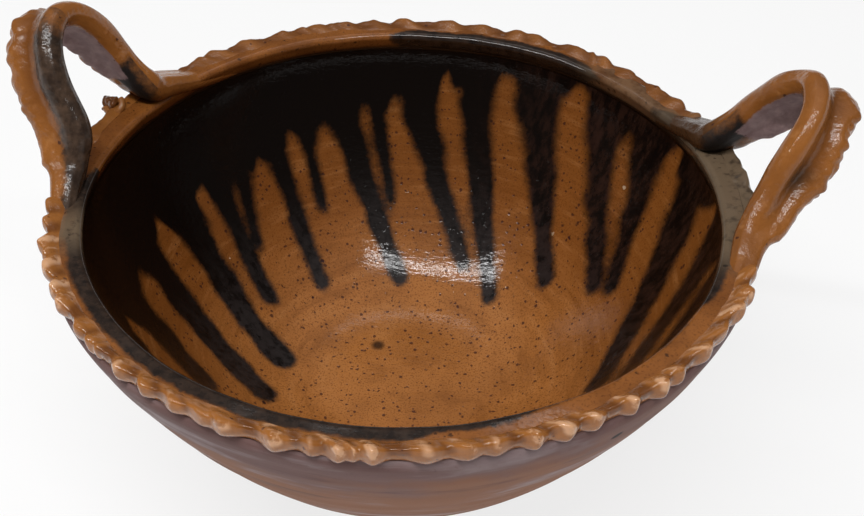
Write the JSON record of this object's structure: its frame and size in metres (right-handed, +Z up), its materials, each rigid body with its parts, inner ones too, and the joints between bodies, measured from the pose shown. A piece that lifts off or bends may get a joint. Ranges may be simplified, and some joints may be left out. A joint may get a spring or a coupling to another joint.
{
  "type": "clay cazuela",
  "caption": "Deep glazed earthenware cooking bowl with a flattened lip, a finger-crimped rim coil and grooved strap loop handles on the rim.",
  "frame": {"origin": "centre of the flat underside that the pot stands on", "axes": "+Z up through the middle of the opening, +X to the right handle's side, -Y to the front of the pot, with both handles set a little behind the X axis"},
  "size_m": [0.3161, 0.2673, 0.1618],
  "materials": {
    "glazed_bowl": "glossy lead glaze over orange-brown clay inside with dark slip drips, dull lilac-grey to pinkish-brown clay outside",
    "slipped_lip": "dark slip under glossy glaze, worn to brown in places",
    "glazed_coil": "glossy brown glaze, paler on the ridges of the crimps",
    "glazed_strap": "glossy brown glaze outside, bare purple-grey clay on the inner face"
  },
  "bodies": {
    "root": {"bowl_shell": "glazed_bowl", "lip_ring": "slipped_lip", "rim_coil_front": "glazed_coil", "rim_coil_back": "glazed_coil", "rim_coil_left": "glazed_coil", "rim_coil_right": "glazed_coil", "left_handle_strap": "glazed_strap", "right_handle_strap": "glazed_strap"}
  },
  "joints": []
}
